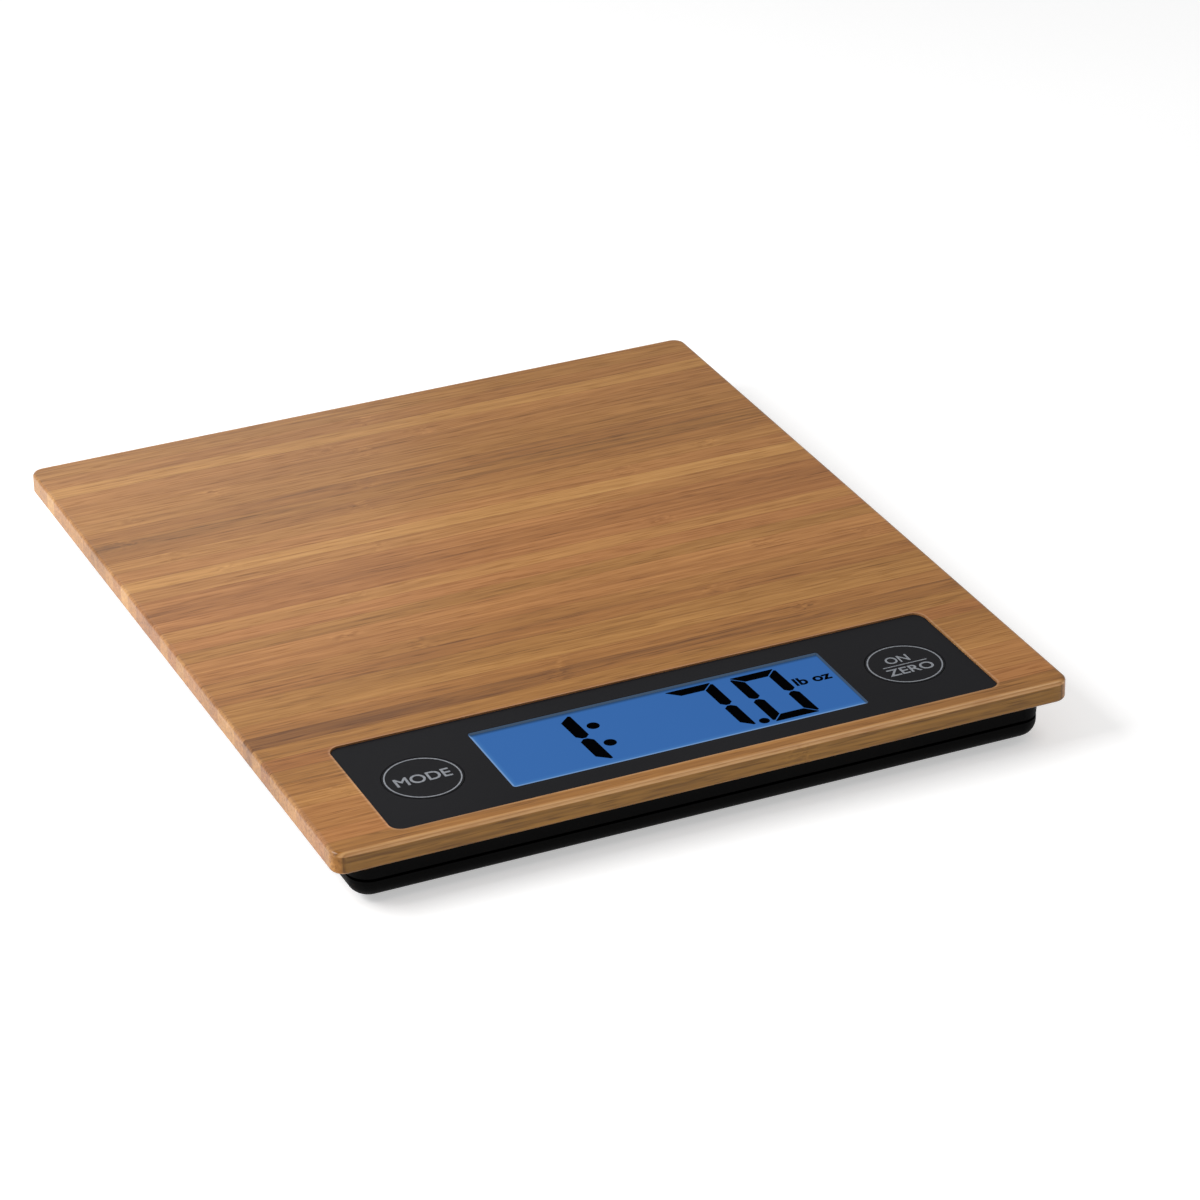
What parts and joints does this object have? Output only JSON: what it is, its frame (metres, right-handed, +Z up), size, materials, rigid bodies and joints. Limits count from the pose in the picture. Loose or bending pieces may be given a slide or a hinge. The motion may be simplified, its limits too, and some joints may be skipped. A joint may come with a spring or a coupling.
{
  "type": "kitchen scale",
  "caption": "Slim digital kitchen scale: bamboo weighing platform with inset display panel and round keys, on a shallow black housing over a load cell.",
  "frame": {"origin": "centre of the footprint at the soles of the feet", "axes": "+Z up through the platform, +Y to the back away from the display, +X to the right"},
  "size_m": [0.18, 0.21, 0.0164],
  "materials": {
    "bamboo": "satin lacquered laminated bamboo",
    "panel_film": "satin charcoal",
    "key_caps": "satin charcoal with a pale ring",
    "switch_plungers": "moulded black",
    "switch_bodies": "stamped steel cover",
    "polarising_film": "blue display film",
    "display_glass": "clear display glass",
    "light_guide": "lit blue acrylic",
    "reflector_sheet": "white film",
    "backlight_lamps": "clear epoxy lamp",
    "display_frame": "white moulding",
    "contact_strips": "layered silicone rubber",
    "circuit_board": "green solder mask",
    "circuit_chips": "black epoxy",
    "cable_sockets": "white nylon",
    "small_screws": "zinc plated",
    "housing_plastic": "fine-grained black moulding",
    "steel_plates": "zinc plated sheet",
    "cell_bolts": "zinc plated",
    "load_cell": "milled aluminium",
    "strain_gauges": "amber foil gauge",
    "gauge_sealant": "white silicone",
    "sensor_ribbon": "grey ribbon cable",
    "battery_ribbon": "red and black twin lead",
    "coin_cell": "nickel plated",
    "battery_contacts": "plated spring strip",
    "feet": "soft black rubber"
  },
  "bodies": {
    "base": {"base_tray": "housing_plastic", "lower_support_plate": "steel_plates", "load_cell": "load_cell", "strain_gauges": "strain_gauges", "gauge_sealant": "gauge_sealant", "lower_cell_bolts": "cell_bolts", "coin_cell": "coin_cell", "negative_contact": "battery_contacts", "positive_contact": "battery_contacts", "sensor_ribbon": "sensor_ribbon", "battery_ribbon": "battery_ribbon", "front_left_foot": "feet", "front_right_foot": "feet", "back_left_foot": "feet", "back_right_foot": "feet"},
    "platform": {"bamboo_platform": "bamboo", "display_panel": "panel_film", "upper_shell": "housing_plastic", "platform_screws": "small_screws", "upper_support_plate": "steel_plates", "upper_cell_bolts": "cell_bolts", "front_polariser": "polarising_film", "front_glass": "display_glass", "rear_glass": "display_glass", "rear_polariser": "polarising_film", "light_guide": "light_guide", "reflector_sheet": "reflector_sheet", "backlight_lamps": "backlight_lamps", "display_frame": "display_frame", "front_contact_strip": "contact_strips", "rear_contact_strip": "contact_strips", "circuit_board": "circuit_board", "circuit_chips": "circuit_chips", "cable_sockets": "cable_sockets", "board_screws": "small_screws", "unit_switch_body": "switch_bodies", "tare_switch_body": "switch_bodies"},
    "unit_button": {"unit_key": "key_caps", "unit_switch_plunger": "switch_plungers"},
    "tare_button": {"tare_key": "key_caps", "tare_switch_plunger": "switch_plungers"},
    "battery_lid": {"battery_door": "housing_plastic"}
  },
  "joints": [
    {"name": "platform_travel", "type": "slide", "parent": "base", "child": "platform", "axis": [0, 0, -1], "range_m": [0, 0.0004], "stiffness_N_per_m": 25000, "springref_m": -0.00009, "deforming": ["load_cell", "gauge_sealant", "strain_gauges", "sensor_ribbon", "battery_ribbon"]},
    {"name": "unit_key_press", "type": "slide", "parent": "platform", "child": "unit_button", "axis": [0, 0, -1], "range_m": [0, 0.0003], "stiffness_N_per_m": 1000},
    {"name": "tare_key_press", "type": "slide", "parent": "platform", "child": "tare_button", "axis": [0, 0, -1], "range_m": [0, 0.0003], "stiffness_N_per_m": 1000},
    {"name": "battery_door_hinge", "type": "hinge", "parent": "base", "child": "battery_lid", "pos_m": [0.046, -0.0305, 0.0026], "axis": [1, 0, 0], "range_deg": [0, 90]}
  ]
}
